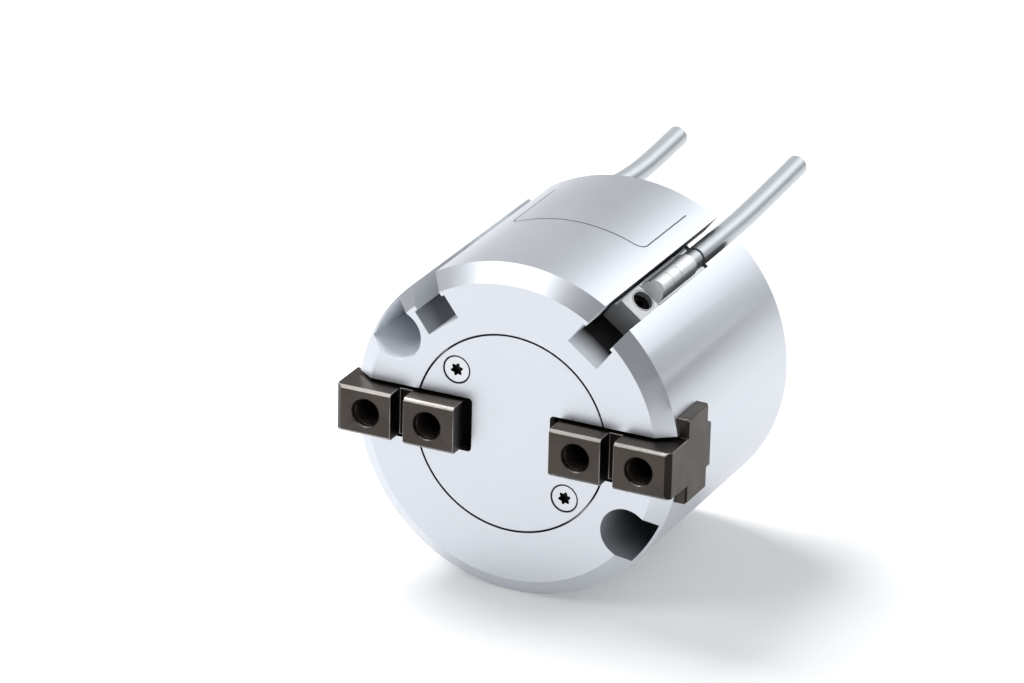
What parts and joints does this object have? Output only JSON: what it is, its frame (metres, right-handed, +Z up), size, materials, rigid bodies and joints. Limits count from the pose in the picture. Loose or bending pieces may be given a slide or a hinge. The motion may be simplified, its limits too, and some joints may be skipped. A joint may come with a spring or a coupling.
{
  "type": "two jaw centric gripper",
  "caption": "Round pneumatic gripper: two jaws slide apart and together on one diameter, driven by a wedge cam, with sensors in side slots.",
  "frame": {"origin": "centre of the rear mounting face, on the gripper's axis", "axes": "+Y along the gripper's axis, out of the rear face (the front face looks towards -Y); X along the jaws' travel; +Z up, on the side of the sensor slots"},
  "size_m": [0.0644, 0.1002, 0.062],
  "materials": {
    "satin_anodised": "satin bead-blasted and anodised, cool silver",
    "turned_aluminium": "fine turned",
    "bright_screw": "bright",
    "spring_steel": "black oiled",
    "ground_steel": "hardened and ground",
    "dark_jaw_steel": "hardened, dark grey-brown, satin",
    "dark_screw": "blackened",
    "bush_bronze": "plain bearing bronze",
    "black_rubber": "matt",
    "magnet_grey": "sintered magnet",
    "sensor_shell": "pale silver, satin",
    "lead_jacket": "silver-grey, smooth"
  },
  "bodies": {
    "housing": {"housing": "satin_anodised", "front_cover": "satin_anodised", "cover_screws": "bright_screw", "rear_cap": "turned_aluminium", "rear_cap_seal": "black_rubber", "retaining_ring": "spring_steel", "rod_bush": "bush_bronze", "rod_seal": "black_rubber", "rod_seal_washer": "turned_aluminium", "front_bumper": "black_rubber", "rear_bumper": "black_rubber"},
    "piston": {"wedge_cam": "ground_steel", "piston": "turned_aluminium", "piston_seal": "black_rubber", "ring_magnet": "magnet_grey", "magnet_holder": "turned_aluminium", "piston_screw": "bright_screw"},
    "jaw_right": {"jaw_right": "dark_jaw_steel"},
    "jaw_left": {"jaw_left": "dark_jaw_steel"},
    "sensor_right": {"sensor_right": "sensor_shell", "sensor_right_screw": "dark_screw", "sensor_right_collar": "sensor_shell", "sensor_right_lead": "lead_jacket"},
    "sensor_left": {"sensor_left": "sensor_shell", "sensor_left_screw": "dark_screw", "sensor_left_collar": "sensor_shell", "sensor_left_lead": "lead_jacket"}
  },
  "joints": [
    {"name": "piston_slide", "type": "slide", "parent": "housing", "child": "piston", "axis": [0, 1, 0], "range_m": [-0.0044, 0.002]},
    {"name": "jaw_right_slide", "type": "slide", "parent": "housing", "child": "jaw_right", "axis": [1, 0, 0], "range_m": [-0.00125, 0.00275]},
    {"name": "jaw_left_slide", "type": "slide", "parent": "housing", "child": "jaw_left", "axis": [-1, 0, 0], "range_m": [-0.00125, 0.00275]},
    {"name": "sensor_right_slide", "type": "slide", "parent": "housing", "child": "sensor_right", "axis": [0, 1, 0], "range_m": [-0.01, 0.009]},
    {"name": "sensor_left_slide", "type": "slide", "parent": "housing", "child": "sensor_left", "axis": [0, 1, 0], "range_m": [-0.012, 0.0026]}
  ],
  "couplings": [
    {"joint": "jaw_right_slide", "follows": "piston_slide", "ratio": -0.625},
    {"joint": "jaw_left_slide", "follows": "piston_slide", "ratio": -0.625}
  ]
}
